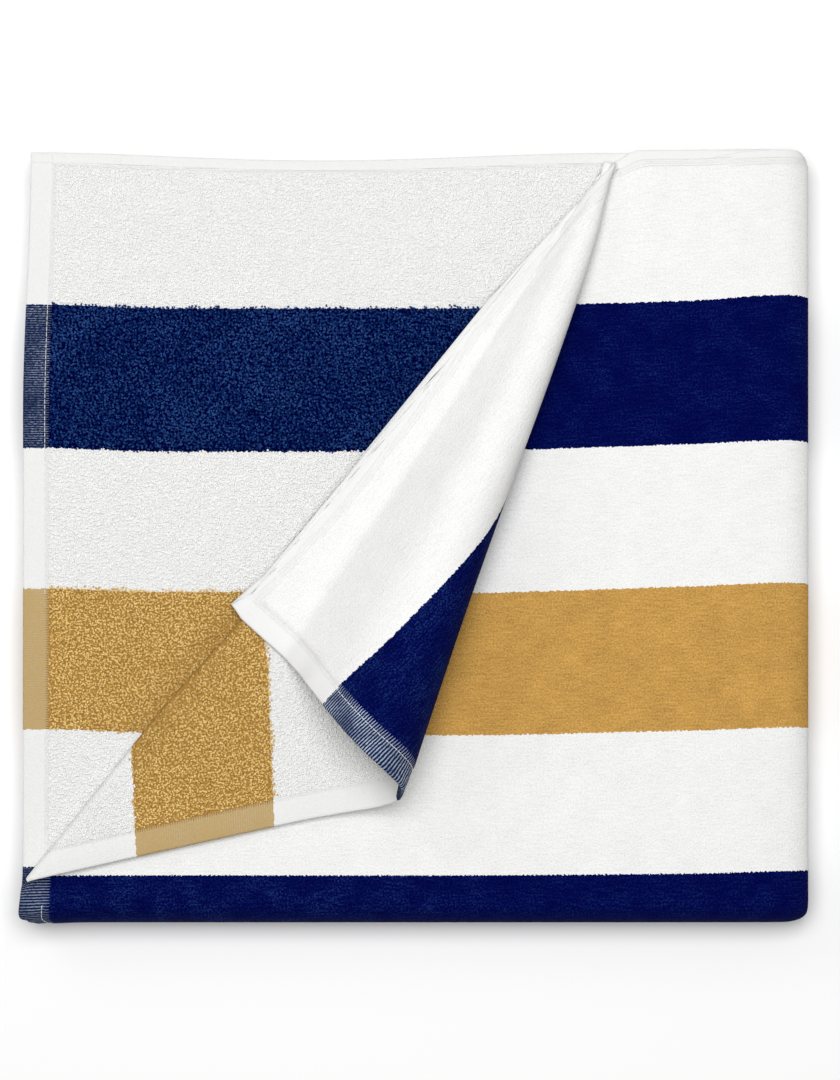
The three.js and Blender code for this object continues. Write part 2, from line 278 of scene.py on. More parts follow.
def lengthwise():
    """Columns of the stack: x, depth in layers and length of cloth, along legs and half-round bends."""
    legs = [
        (run_of(-HALF_X, OUTER_BEND_X, 58, near=END_LINES), 0), (OUTER_BEND_X, OUTER_BEND, 0, 3, 16),
        (run_of(OUTER_BEND_X, LEFT_BEND_X, 22), 3), (LEFT_BEND_X, -LEFT_BEND, 3, 2, 12),
        (run_of(LEFT_BEND_X, INNER_BEND_X, 22), 2), (INNER_BEND_X, INNER_BEND, 2, 1, 12),
        (run_of(INNER_BEND_X, -HALF_X, 62, far=END_LINES), 1),
    ]
    xs, depths = [], []
    for leg in legs:
        if len(leg) == 2:
            x, depth = leg[0], np.full(len(leg[0]), leg[1], float)
        else:
            centre, reach, start, into, steps = leg
            swing = np.linspace(0, np.pi, steps + 1)
            x = centre + reach * np.sin(swing)
            depth = start + (into - start) * (1 - np.cos(swing)) / 2
        xs.append(x[1:] if xs else x)
        depths.append(depth[1:] if depths else depth)
    x, depth = np.concatenate(xs), np.concatenate(depths)
    used = np.concatenate([[0], np.cumsum(np.hypot(np.diff(x), np.diff(depth) * LAYER_STEP))])
    return x, depth, used, len(legs[0][0]) - 1


def crosswise():
    """Rows of the stack: y, turn round the front bend and length of cloth, from selvage to selvage."""
    top = run_of(HALF_Y, FRONT_BEND_Y, 58, near=SIDE_LINES)
    bottom = run_of(FRONT_BEND_Y, HALF_Y, 46, far=SIDE_LINES)
    bend = np.linspace(0, np.pi, 23)[1:]
    y = np.concatenate([top, np.full(len(bend), FRONT_BEND_Y), bottom[1:]])
    turn = np.concatenate([np.zeros(len(top)), bend, np.full(len(bottom) - 1, np.pi)])
    round_y = y - FRONT_BEND * np.sin(turn)
    round_z = FRONT_HALF_HEIGHT * np.cos(turn)
    used = np.concatenate([[0], np.cumsum(np.hypot(np.diff(round_y), np.diff(round_z)))])
    return y, turn, used, len(top) - 1


# The turned-back corner is laid out on rays from the apex, a point just beyond the selvage
APEX_U = APEX[0] + HALF_X
APEX_V = APEX[1] - HALF_Y
CREASE_ANGLE = math.atan2(APEX[1] - FRONT_BEND_Y, APEX_U)
REST_ON = CLOTH + 0.5
FALL = math.radians(46)
ROLL = (8.5, 0.37)
EASE = 0.04
DRAW_CREASE = 7.5
DRAW_BACK = 3.4
DRAWN_SPAN = (70, 190)
END_PULL = 6.6
END_PULL_SPAN = (0.36, 0.3)
LOOSE_CORNER = 8.0
FINE_STEPS = 12
MEAN_STEPS = 200


def mean_sine(start, turn):
    """Mean sine of the heading along a bend that turns softly."""
    return np.sin(start + turn * soft((np.arange(MEAN_STEPS) + 0.5) / MEAN_STEPS)).mean()


roll_rise = mean_sine(0, math.pi + FALL)
ease_drop = mean_sine(FALL, -FALL)
# Bends met from the lying cloth outwards: turn, length at the apex, length for each millimetre from it, steps
TURN_BACK = (
    (math.pi, 7.7, 0.0097, 18),
    (0.0, -5.2, 0.225, 26),
    (-(math.pi + FALL), ROLL[0], ROLL[1], 34),
    (0.0, (roll_rise * ROLL[0] - REST_ON) / math.sin(FALL),
     (roll_rise * ROLL[1] - ease_drop * EASE) / math.sin(FALL), 9),
    (FALL, 0.0, EASE, 9),
)
TIP_STEPS = 18
RETURN_END = TURN_BACK[0][3] + TURN_BACK[1][3]


def turn_back_lines():
    """Running totals of cloth used, plan travel and rise along the turned-back corner, by adding up the
    heading of each bend, in pairs for the apex and for a millimetre from it, and the share of the return."""
    used, travel, rise = [np.zeros((1, 2))], [np.zeros((1, 2))], [np.zeros((1, 2))]
    back = [np.zeros(1)]
    heading = math.pi
    for row, (turn, at_apex, per_mm, steps) in enumerate(TURN_BACK):
        length = np.array([at_apex, per_mm])
        fine = steps * FINE_STEPS
        along = heading - turn * soft((np.arange(fine) + 0.5) / fine)
        pick = np.arange(1, steps + 1) * FINE_STEPS - 1
        used.append(used[-1][-1] + np.outer(np.arange(1, steps + 1) / steps, length))
        travel.append(travel[-1][-1] + np.outer(np.cumsum(np.cos(along))[pick] / fine, length))
        rise.append(rise[-1][-1] + np.outer(np.cumsum(np.sin(along))[pick] / fine, length))
        back.append(np.arange(1, steps + 1) / steps if row == 1 else np.full(steps, back[-1][-1]))
        heading -= turn
    corner = math.hypot(APEX_U + END_PULL, APEX_V)
    tip = CREASE_ANGLE - math.atan2(APEX_V, APEX_U + END_PULL) - used[-1][-1][1] - used[-1][-1][0] / corner
    run = np.outer(np.arange(1, TIP_STEPS + 1) / TIP_STEPS, [0, tip])
    used.append(used[-1][-1] + run)
    travel.append(travel[-1][-1] - run)
    rise.append(np.repeat(rise[-1][-1:], TIP_STEPS, axis=0))
    back.append(np.ones(TIP_STEPS))
    return [np.concatenate(part) for part in (used, travel, rise, back)]


def drawn_in(r):
    """How far the crease is drawn in under the corner: whole near the apex, none farther out."""
    return 1 - rising(r, *DRAWN_SPAN)


def crease_start(r):
    """Angle at which the crease starts, at a distance from the apex."""
    return CREASE_ANGLE + DRAW_CREASE * drawn_in(r) / r


def end_reach(angle):
    """How far the loose end is pulled past its straight line: whole on the flap, none beyond the roll."""
    return END_PULL * (1 - rising(angle, *END_PULL_SPAN))


def crossing(measure, near, far):
    """Distance from the apex, line by line, at which a rising measure passes zero, by halving."""
    low, high = np.broadcast_arrays(np.asarray(near, float), np.asarray(far, float))
    low, high = low.copy(), high.copy()
    for _ in range(60):
        middle = (low + high) / 2
        short = measure(middle) < 0
        low, high = np.where(short, middle, low), np.where(short, high, middle)
    return (low + high) / 2


MIDDLE_STEPS = 44
HEM_SHARE = 0.42
LEAST_SIDE_SLOPE = 0.03
LEAST_END_SLOPE = 0.3


def stations(inner, outer, inner_slope, outer_slope):
    """Distances along rays: hem lines near each end, squeezed on a short ray, even steps between them."""
    length = (outer - inner)[:, None]
    head = SIDE_LINES / np.maximum(inner_slope, LEAST_SIDE_SLOPE)[:, None]
    tail = END_LINES / np.maximum(outer_slope, LEAST_END_SLOPE)[:, None]
    head = head * np.minimum(1, HEM_SHARE * length / head[:, -1:])
    tail = tail * np.minimum(1, HEM_SHARE * length / tail[:, -1:])
    share = (np.arange(1, MIDDLE_STEPS) / MIDDLE_STEPS)[None, :]
    first, last = inner[:, None] + head[:, -1:], outer[:, None] - tail[:, -1:]
    between = first + (last - first) * share
    return np.concatenate([inner[:, None] + head, between, outer[:, None] - tail[:, ::-1]], 1)


column_x, column_depth, column_used, last_top_column = lengthwise()
row_y, row_turn, row_used, last_top_row = crosswise()
LENGTH_USED, WIDTH_USED = column_used[-1], row_used[-1]
SECOND_STRETCH = 1.012
SECOND_SLACK = 1.8
SECOND_SLACK_SPAN = (-180, 60)

# Stack: every column with every row, apart from the inside of the top layer
share = ((MIDDLE_RANK - column_depth) / MIDDLE_RANK)[:, None]
stack_y = row_y[None, :] - FRONT_BEND * share * np.sin(row_turn)[None, :]
stack_rank = MIDDLE_RANK + (MIDDLE_RANK - column_depth)[:, None] * np.cos(row_turn)[None, :]
stack_x = np.broadcast_to(column_x[:, None], stack_y.shape)
stack_points = lay(stack_x, stack_y, stack_rank, 0)
kept = np.ones(stack_y.shape, bool)
kept[:last_top_column, :last_top_row] = False
stack_index = np.full(stack_y.shape, -1)
stack_index[kept] = np.arange(kept.sum())
flat_u = np.broadcast_to(column_used[:, None], stack_y.shape)
flat_v = np.broadcast_to(row_used[None, :], stack_y.shape)
is_second = (column_depth[:, None] == 1) & (row_turn[None, :] == 0)
slack = SECOND_SLACK * rising(stack_points[..., 0], *SECOND_SLACK_SPAN)
stripe_v = np.where(is_second, (HALF_Y - stack_points[..., 1]) * SECOND_STRETCH - slack, flat_v)

# Top layer: rays of the turned-back corner, then rays of the lying part to the front and right bends
used, travel, rise, back = [part[::-1] for part in turn_back_lines()]


def corner_flat(k, r):
    """Angle in the flat cloth of point r of turned-back line k."""
    return crease_start(r) - used[k, 1] - (used[k, 0] - DRAW_BACK * back[k] * drawn_in(r)) / r


def corner_turned(k, r):
    """Angle in plan and lift of point r of turned-back line k."""
    angle = crease_start(r) + travel[k, 1] + (travel[k, 0] - DRAW_BACK * back[k] * drawn_in(r)) / r
    return angle, rise[k, 0] + r * rise[k, 1]


lines = np.arange(len(used))
inner = crossing(lambda r: r * np.sin(corner_flat(lines, r)) - APEX_V, np.full(len(lines), APEX_V), 600)
outer = crossing(lambda r: r * np.cos(corner_flat(lines, r)) - APEX_U - end_reach(corner_flat(lines, r)),
                 np.full(len(lines), APEX_U), 700)
corner_r = stations(inner, outer, np.sin(corner_flat(lines, inner)), np.cos(corner_flat(lines, outer)))
flat_angle = corner_flat(lines[:, None], corner_r)
plan_angle, corner_lift = corner_turned(lines[:, None], corner_r)
corner_u = APEX_U + end_reach(flat_angle) - corner_r * np.cos(flat_angle)
corner_v = corner_r * np.sin(flat_angle) - APEX_V
# The loose corner is worn round: points of its square are drawn in to a quarter circle
inside_u, inside_v = np.maximum(LOOSE_CORNER - corner_u, 0), np.maximum(LOOSE_CORNER - corner_v, 0)
drawn = 1 - np.maximum(inside_u, inside_v) / np.maximum(np.hypot(inside_u, inside_v), 1e-9)
drawn = np.where(inside_u * inside_v > 0, drawn, 0)
round_x = corner_r * np.cos(flat_angle) - inside_u * drawn
round_y = corner_r * np.sin(flat_angle) + inside_v * drawn
round_r = np.hypot(round_x, round_y)
round_angle = plan_angle + flat_angle - np.arctan2(round_y, round_x)
corner_points = lay(APEX[0] - round_r * np.cos(round_angle), APEX[1] - round_r * np.sin(round_angle),
                    np.full(corner_r.shape, float(TOP_RANK)), corner_lift)
# Halfway along, the loose selvage lies out over the crease below it
OVER_CREASE = 2.6 * np.array([-0.76, 0.65, 0.0])
over_crease = bell(corner_u - 150, 45) * bell(corner_v, 26)
corner_points = corner_points + over_crease[..., None] * OVER_CREASE
# At the apex the end of the crease is tucked in under the roll
TUCK = 6.5 * np.array([-1.0, -0.25, 0.0])
past_bend = lines[:, None] - (len(lines) - 1 - TURN_BACK[0][3] - 3)
tucked = bell(past_bend, 7) * bell(corner_r - 12, 17)
corner_points = corner_points + tucked[..., None] * TUCK
# The loose weave lets the stripes lean where the cloth is turned back, on the return and on the flap
LEAN_RETURN, LEAN_FLAP_END, LEAN_FLAP = 13, 3.5, 4.5
past_roll = rising(corner_v, 110, 40)
by_crease = rising(corner_v, 295, 35)
return_lean = LEAN_RETURN * np.clip(1 - corner_u / 75, 0, 1) * past_roll * (1 - by_crease)
flap_lean = (LEAN_FLAP_END * np.clip(1 - corner_u / 150, 0, 1)
             + LEAN_FLAP * soft(corner_u / 50) * (1 - rising(corner_u, 130, 60)))
corner_stripe = corner_v - return_lean - flap_lean * (1 - past_roll)

rim_x = np.concatenate([column_x[1:last_top_column + 1], np.full(last_top_row, OUTER_BEND_X)])
rim_y = np.concatenate([np.full(last_top_column, FRONT_BEND_Y), row_y[:last_top_row][::-1]])
rim_index = np.concatenate([stack_index[1:last_top_column + 1, last_top_row],
                            stack_index[last_top_column, :last_top_row][::-1]])
straight = np.arctan2(APEX[1] - rim_y, APEX[0] - rim_x)
reach = np.hypot(APEX[1] - rim_y, APEX[0] - rim_x)
BESIDE_CREASE = 0.7
near_crease = 1 - np.clip((straight - CREASE_ANGLE) / BESIDE_CREASE, 0, 1)


def lying_angle(k, r):
    """Angle of a lying ray, drawn in beside the crease as the crease is."""
    return straight[k] + near_crease[k] * DRAW_CREASE * drawn_in(r) / r


rim_lines = np.arange(len(reach))
start = crossing(lambda r: r * np.sin(lying_angle(rim_lines, r)) - APEX_V, np.full(len(reach), APEX_V), reach)
lying_r = stations(start, reach, np.sin(lying_angle(rim_lines, start)), np.ones(len(reach)))
angle = lying_angle(rim_lines[:, None], lying_r)
lying_x, lying_y = APEX[0] - lying_r * np.cos(angle), APEX[1] - lying_r * np.sin(angle)
lying_points = lay(lying_x, lying_y, np.full(lying_r.shape, float(TOP_RANK)), 0)

ray_points = np.concatenate([corner_points, lying_points])
ray_u = np.concatenate([corner_u, lying_x + HALF_X])
ray_v = np.concatenate([corner_v, HALF_Y - lying_y])
ray_stripe = np.concatenate([corner_stripe, HALF_Y - lying_y])
ray_index = np.arange(ray_u.size).reshape(ray_u.shape) + kept.sum()
ray_index[0, :] = ray_index[0, 0]
crease_line = len(lines) - 1
ray_index[crease_line, -1] = stack_index[0, last_top_row]
ray_index[len(lines):, -1] = rim_index
ray_index[-1, :] = rim_index[-1]

mid = np.concatenate([stack_points[kept], ray_points.reshape(-1, 3)])
cloth_u = np.concatenate([flat_u[kept], ray_u.ravel()])
cloth_v = np.concatenate([flat_v[kept], ray_v.ravel()])
cloth_stripe = np.concatenate([stripe_v[kept], ray_stripe.ravel()])
# Stripes lie a little farther back at the right edge, most of all near the selvages
cloth_stripe = cloth_stripe + rising(mid[:, 0], 130, 50) * (1.0 + 1.2 * rising(mid[:, 1], 40, 80))
second_layer = np.concatenate([is_second[kept], np.zeros(ray_u.size, bool)])
ray_line = np.broadcast_to(np.arange(len(ray_u))[:, None], ray_u.shape).ravel()
OFF_RAYS = 10_000
INTO_ROLL = 14
cloth_line = np.concatenate([np.full(kept.sum(), OFF_RAYS), ray_line])
looped = second_layer | ((cloth_line > crease_line - RETURN_END - INTO_ROLL) & (cloth_line < crease_line))
loose = cloth_line < crease_line - RETURN_END


def cells(index):
    """Two triangles for each cell of a grid of point numbers, leaving out those shrunk to a line."""
    a, b, c, d = index[:-1, :-1], index[:-1, 1:], index[1:, 1:], index[1:, :-1]
    pair = np.concatenate([np.stack([a, b, c], -1).reshape(-1, 3), np.stack([a, c, d], -1).reshape(-1, 3)])
    same = (pair[:, 0] == pair[:, 1]) | (pair[:, 1] == pair[:, 2]) | (pair[:, 2] == pair[:, 0])
    return pair[~same & (pair >= 0).all(1)]


mid_faces = np.concatenate([cells(stack_index), cells(ray_index)])


def point_normals(points, faces):
    """Unit normals at points: face normals added up by the angle each face takes at the point."""
    total = np.zeros_like(points)
    corners = points[faces]
    for k in range(3):
        to_next = corners[:, (k + 1) % 3] - corners[:, k]
        to_last = corners[:, (k + 2) % 3] - corners[:, k]
        cross = np.cross(to_next, to_last)
        size = np.linalg.norm(cross, axis=1)
        wide = np.arctan2(size, (to_next * to_last).sum(1))
        np.add.at(total, faces[:, k], cross / np.maximum(size, 1e-12)[:, None] * wide[:, None])
    return total / np.maximum(np.linalg.norm(total, axis=1), 1e-12)[:, None]


from_end = np.minimum(cloth_u, LENGTH_USED - cloth_u)
from_side = np.minimum(cloth_v, WIDTH_USED - cloth_v)


def puckers(along, phase):
    """Uneven wave along a sewn edge: three sines of unlike lengths."""
    short = np.sin(along / 3.1 + phase)
    middling = 0.8 * np.sin(along / 5.3 + 2 * phase)
    long = 0.7 * np.sin(along / 8.9 - phase)
    return (short + middling + long) / 2.5


# Sewn edges wave a little, most where the corner is loose; beside the loose selvage runs a soft trough
wave = np.where(loose, 0.8, 0.22)
trough = np.where(loose, 0.5, 0.1)
edge_wave = (wave * puckers(cloth_v, 0.7) * bell(from_end, 13)
             + wave * puckers(cloth_u, 1.9) * bell(from_side, 8)
             - trough * bell(from_side - 11, 4))
mid = mid + point_normals(mid, mid_faces) * edge_wave[:, None]
mid_normal = point_normals(mid, mid_faces)

# Thickness: pile off the hems, thinner flat weave on them, sunk along the seam and rounded to an edge
EDGE_ROUND = 1.3
END_HEM, SIDE_HEM = (11.4, 1.3), (5.6, 1.2)
END_SEAM, SIDE_SEAM = 11.2, 5.3
SEAM_SUNK = 0.4
VELOUR, VELOUR_HEM = 1.4, 1.05
TERRY, TERRY_UNDER_LOOPS, TERRY_HEM = 1.35, 0.7, 1.0
to_edge = np.clip(np.minimum(from_end, from_side) / EDGE_ROUND, 0, 1)
rounded = np.sqrt(np.clip(1 - (1 - to_edge) ** 2, 0.02, 1))
hemmed = np.maximum(1 - rising(from_end, *END_HEM), 1 - rising(from_side, *SIDE_HEM))
sunk = SEAM_SUNK * np.maximum(bell(from_end - END_SEAM, 0.7), bell(from_side - SIDE_SEAM, 0.6))
velour_off = rounded * (VELOUR * (1 - hemmed) + VELOUR_HEM * hemmed) - sunk * rounded
terry = np.where(looped, TERRY_UNDER_LOOPS, TERRY)
terry_off = rounded * (terry * (1 - hemmed) + TERRY_HEM * hemmed) - sunk * rounded


def shell_faces(faces, count):
    """Velour faces, terry faces turned over, and a wall along the edges that only one face uses."""
    edge = np.concatenate([faces[:, [0, 1]], faces[:, [1, 2]], faces[:, [2, 0]]])
    key = edge.min(1) * count + edge.max(1)
    _, first, times = np.unique(key, return_index=True, return_counts=True)
    a, b = edge[first[times == 1]].T
    wall = np.concatenate([np.stack([a, a + count, b + count], 1), np.stack([a, b + count, b], 1)])
    return faces, faces[:, ::-1] + count, wall


def mesh_of(name, points, faces, layers, slots=None):
    """Mesh object from points in metres and triangles, with UV layers given at the points."""
    mesh = bpy.data.meshes.new(name)
    mesh.vertices.add(len(points))
    mesh.vertices.foreach_set("co", np.ascontiguousarray(points, np.float32).ravel())
    mesh.loops.add(faces.size)
    mesh.loops.foreach_set("vertex_index", np.ascontiguousarray(faces, np.int32).ravel())
    mesh.polygons.add(len(faces))
    mesh.polygons.foreach_set("loop_start", np.arange(0, faces.size, 3, dtype=np.int32))
    if slots is not None:
        mesh.polygons.foreach_set("material_index", np.ascontiguousarray(slots, np.int32))
    mesh.update(calc_edges=True)
    mesh.validate()
    for layer, values in layers.items():
        mesh.uv_layers.new(name=layer).data.foreach_set(
            "uv", np.ascontiguousarray(values[faces.ravel()], np.float32).ravel())
    mesh.shade_smooth()
    made = bpy.data.objects.new(name, mesh)
    bpy.context.scene.collection.objects.link(made)
    return made


count = len(mid)
velour_faces, terry_faces, wall_faces = shell_faces(mid_faces, count)
shell = np.concatenate([mid + mid_normal * velour_off[:, None], mid - mid_normal * terry_off[:, None]])
flat_place = np.stack([cloth_u, cloth_stripe], 1) / 1000
hem_place = np.stack([from_end, from_side], 1) / 1000
all_faces = np.concatenate([velour_faces, terry_faces, wall_faces])
face_slots = np.repeat([0, 1, 0], [len(velour_faces), len(terry_faces), len(wall_faces)])
towel = mesh_of("towel_cloth", shell / 1000, all_faces,
                {"flat": np.tile(flat_place, (2, 1)), "hems": np.tile(hem_place, (2, 1))}, face_slots)

WHITE_YARN = linear(236, 236, 235)
NAVY_YARN = linear(0, 4, 70)
GOLD_YARN = linear(192, 148, 78)
WHITE_WARP = linear(229, 229, 228)
NAVY_WARP = linear(13, 31, 68)
GOLD_WARP = linear(184, 157, 106)
PALE_WEFT = linear(204, 216, 236)
# Pale teal of the painted glints on dark pile tips
PAINTED_TIP_GLINT = linear(64, 106, 148)
STRIPE_EDGES = (75.0, 144.3, 213.6, 282.1, 349.7)
RAMP_WIDTH = 400


def feed(tree, socket, part):
    """Link an output to a socket, or set the socket to a number or a colour."""
    if isinstance(part, bpy.types.NodeSocket):
        tree.links.new(part, socket)
    else:
        socket.default_value = part


def worked(tree, operation, *parts):
    """Result of one sum, whose parts are numbers or outputs."""
    made = node(tree, "ShaderNodeMath", operation=operation)
    for socket, part in zip(made.inputs, parts):
        feed(tree, socket, part)
    return made.outputs[0]


def ranged(tree, value, start=(0.0, 1.0), end=(0.0, 1.0)):
    """A value carried from one range to another."""
    made = node(tree, "ShaderNodeMapRange")
    for name, part in zip(("Value", "From Min", "From Max", "To Min", "To Max"), (value, *start, *end)):
        feed(tree, made.inputs[name], part)
    return made.outputs[0]


def mixed(tree, share, first, second, kind="MIX"):
    """Colour between two colours, or their product."""
    made = node(tree, "ShaderNodeMix", data_type="RGBA", blend_type=kind)
    for slot, part in zip((0, 6, 7), (share, first, second)):
        feed(tree, made.inputs[slot], part)
    return made.outputs[2]


def drawn_from(tree, kind, part):
    """Outputs of a node that has one input."""
    made = node(tree, kind)
    feed(tree, made.inputs[0], part)
    return made.outputs


def noise(tree, place, stretch=None, **values):
    """Soft noise at a place, which is stretched first where a scale for it is given."""
    if stretch:
        longer = node(tree, "ShaderNodeMapping", Scale=stretch)
        feed(tree, longer.inputs["Vector"], place)
        place = longer.outputs[0]
    made = node(tree, "ShaderNodeTexNoise", **values)
    feed(tree, made.inputs["Vector"], place)
    return made.outputs["Fac"]


def new_group(name, takes, gives):
    """Empty node group with its named sockets, and the sockets of the nodes where it is entered and left."""
    group = bpy.data.node_groups.new(name, "ShaderNodeTree")
    for way, sockets in (("INPUT", takes), ("OUTPUT", gives)):
        for socket, kind in sockets.items():
            group.interface.new_socket(socket, in_out=way, socket_type="NodeSocket" + kind)
    enter = node(group, "NodeGroupInput")
    leave = node(group, "NodeGroupOutput")
    return group, enter.outputs, leave.inputs


def placed(tree, group, parts):
    """Outputs of a node group that is placed in a material, with its inputs fed by name."""
    made = node(tree, "ShaderNodeGroup", node_tree=group)
    for name, part in parts.items():
        feed(tree, made.inputs[name], part)
    return made.outputs


def stripe_ramp(tree, across, white, coloured, gold):
    """Colour across half the towel: white edge, then navy, white, gold, white, and the middle navy."""
    ramp = node(tree, "ShaderNodeValToRGB")
    ramp.color_ramp.interpolation = "CONSTANT"
    stops = ramp.color_ramp.elements
    stops[0].color = white
    stops[1].position = STRIPE_EDGES[0] / RAMP_WIDTH
    stops[1].color = coloured
    for edge, colour in zip(STRIPE_EDGES[1:], (white, gold, white, coloured)):
        stops.new(edge / RAMP_WIDTH).color = colour
    feed(tree, ramp.inputs["Fac"], across)
    return ramp.outputs["Color"]


def cabana_group():
    """Stripes of the towel: flat place and hem place in; pile colour, flat weave colour and hem mask out."""
    group, enter, leave = new_group(
        "cabana_stripes",
        {"Flat": "Vector", "Hems": "Vector", "Ragged": "Float", "Rib Pitch": "Float", "Ribs": "Float",
         "Weft": "Float"},
        {"Pile": "Color", "Weave": "Color", "Hem": "Float"})
    place = drawn_from(group, "ShaderNodeSeparateXYZ", enter["Flat"])
    tufts = noise(group, enter["Flat"], Scale=900.0, Detail=2.0)
    centred = worked(group, "SUBTRACT", tufts, 0.5)
    other = worked(group, "SUBTRACT", WIDTH_USED / 1000, place["Y"])
    nearer = worked(group, "MINIMUM", place["Y"], other)
    ragged = worked(group, "MULTIPLY_ADD", centred, enter["Ragged"], nearer)
    across = worked(group, "DIVIDE", ragged, RAMP_WIDTH / 1000)
    pile = stripe_ramp(group, across, WHITE_YARN, NAVY_YARN, GOLD_YARN)
    feed(group, leave["Pile"], pile)
    weave = stripe_ramp(group, across, WHITE_WARP, NAVY_WARP, GOLD_WARP)
    # White weft over the coloured warp of the flat hems: ribs across the hem, broken up along it
    turns = worked(group, "DIVIDE", place["Y"], enter["Rib Pitch"])
    ribs = worked(group, "MULTIPLY_ADD", turns, 2 * math.pi, tufts)
    rib = worked(group, "SINE", ribs)
    comb = worked(group, "MULTIPLY", rib, enter["Ribs"])
    fleck = noise(group, enter["Flat"], (700.0, 1700.0, 1.0), Scale=1.0, Detail=3.0, Roughness=0.7)
    woven = worked(group, "ADD", comb, fleck)
    show = ranged(group, woven, (0.5, 0.8), (0.0, enter["Weft"]))
    # The weft hardly shows on pale warp
    warp = drawn_from(group, "ShaderNodeRGBToBW", weave)[0]
    dark_warp = ranged(group, warp, (0.0, 0.7), (1.0, 0.06))
    # More of it in some places than in others, and most towards the selvages, which are handled
    worn = noise(group, enter["Flat"], Scale=60.0, Detail=1.0)
    bare = ranged(group, worn, (0.36, 0.62), (0.5, 1.5))
    handled = ranged(group, nearer, (0.2, 0.34), (1.0, 0.5))
    bared = worked(group, "MULTIPLY", bare, handled)
    here = worked(group, "MULTIPLY", show, bared)
    weft = worked(group, "MULTIPLY", here, dark_warp)
    feed(group, leave["Weave"], mixed(group, weft, weave, PALE_WEFT))
    # The hem's edge is a little uneven, and follows the ribs
    hems = drawn_from(group, "ShaderNodeSeparateXYZ", enter["Hems"])
    uneven = worked(group, "MULTIPLY", centred, 0.0012)
    wobble = worked(group, "MULTIPLY_ADD", comb, -0.0075, uneven)
    masks = []
    for axis, width in (("X", 0.0119), ("Y", 0.0060)):
        moved = worked(group, "ADD", hems[axis], wobble)
        masks.append(worked(group, "LESS_THAN", moved, width))
    feed(group, leave["Hem"], worked(group, "MAXIMUM", *masks))
    return group


def pile_group():
    """Depth and tone of a pile: soft patches where it leans, streaks along the towel and single tufts."""
    group, enter, leave = new_group(
        "pile_depth",
        {"Flat": "Vector", "Patches": "Float", "Tufts": "Float"},
        {"Tone": "Float", "Height": "Float", "Leaning": "Float"})
    patch = noise(group, enter["Flat"], Scale=70.0, Detail=3.0)
    streak = noise(group, enter["Flat"], (130.0, 1000.0, 1.0), Scale=1.0, Detail=2.0)
    tuft = noise(group, enter["Flat"], Scale=1150.0, Detail=2.0, Roughness=0.65)
    tone = 1.0
    for part, weight in ((patch, enter["Patches"]), (streak, 0.45), (tuft, enter["Tufts"])):
        centred = worked(group, "SUBTRACT", part, 0.5)
        tone = worked(group, "MULTIPLY_ADD", centred, weight, tone)
    feed(group, leave["Tone"], tone)
    feed(group, leave["Height"], worked(group, "MULTIPLY_ADD", streak, 0.35, tuft))
    feed(group, leave["Leaning"], ranged(group, patch, (0.4, 0.66), (0.25, 1.0)))
    return group


cabana = cabana_group()
pile_depth = pile_group()


def cloth_finish(name, hem_weave, patches, tufts, depth, tip_glints, ground):
    """Cotton finish of one side of the towel: striped pile with leaning patches, painted shade on the ground
    between dark loops, painted glints on dark pile tips, flat weave on the hems.
    """
    finish, tree, shader = new_finish(name)
    flat = node(tree, "ShaderNodeUVMap", uv_map="flat").outputs[0]
    hems = node(tree, "ShaderNodeUVMap", uv_map="hems").outputs[0]
    rib_pitch, ribs, weft = hem_weave
    stripes = placed(tree, cabana, {
        "Flat": flat, "Hems": hems, "Ragged": 0.0022, "Rib Pitch": rib_pitch, "Ribs": ribs, "Weft": weft})
    pile = placed(tree, pile_depth, {"Flat": flat, "Patches": patches, "Tufts": tufts})
    # Dark pile varies more in tone than pale pile, and painted shade darkens the ground between dark loops
    pale = drawn_from(tree, "ShaderNodeRGBToBW", stripes["Pile"])[0]
    strength = ranged(tree, pale, (0.0, 1.0), (1.8, 0.05))
    toned = worked(tree, "POWER", pile["Tone"], strength)
    between = ranged(tree, pale, (0.1, 0.52), (ground, 1.0))
    shaded = worked(tree, "MULTIPLY", toned, between)
    lit = mixed(tree, 1.0, stripes["Pile"], shaded, "MULTIPLY")
    # Painted highlight: tips of dark pile catch the light as small pale glints
    dark = ranged(tree, pale, (0.0, 0.1), (tip_glints, 0.0))
    tips = ranged(tree, pile["Height"], (0.66, 0.95))
    caught = worked(tree, "MULTIPLY", dark, tips)
    # More of these painted glints where the pile leans, and most near the ends, which are handled and bent
    leaned = worked(tree, "MULTIPLY", caught, pile["Leaning"])
    off_end = drawn_from(tree, "ShaderNodeSeparateXYZ", hems)["X"]
    handled = ranged(tree, off_end, (0.1, 0.24), (2.2, 1.0))
    shown = worked(tree, "MULTIPLY", leaned, handled)
    tipped = mixed(tree, shown, lit, PAINTED_TIP_GLINT)
    feed(tree, shader["Base Color"], mixed(tree, stripes["Hem"], tipped, stripes["Weave"]))
    # Pile stands off the hems, and low ribs run over them
    rib = noise(tree, flat, (1900.0, 900.0, 1.0), Scale=1.0, Detail=1.0)
    low = worked(tree, "MULTIPLY", rib, 0.4)
    height = node(tree, "ShaderNodeMix", data_type="FLOAT")
    for slot, part in zip((0, 2, 3), (stripes["Hem"], pile["Height"], low)):
        feed(tree, height.inputs[slot], part)
    bump = node(tree, "ShaderNodeBump", Strength=0.8, Distance=depth)
    feed(tree, bump.inputs["Height"], height.outputs[0])
    feed(tree, shader["Normal"], bump.outputs[0])
    shader["Roughness"].default_value = 0.95
    shader["Specular IOR Level"].default_value = 0.03
    shader["Sheen Weight"].default_value = 0.006
    shader["Sheen Roughness"].default_value = 0.4
    return finish


towel.data.materials.append(cloth_finish(
    "velour_face", (0.0013, 0.3, 0.52), patches=0.3, tufts=1.2, depth=0.0007, tip_glints=0.2, ground=1.0))
# On the terry side the ground between dark loops gets painted shade
towel.data.materials.append(cloth_finish(
    "terry_ground", (0.00115, 0.12, 0.44), patches=0.2, tufts=1.6, depth=0.0014, tip_glints=0.0, ground=0.6))
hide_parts("towel")
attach(towel, "root")
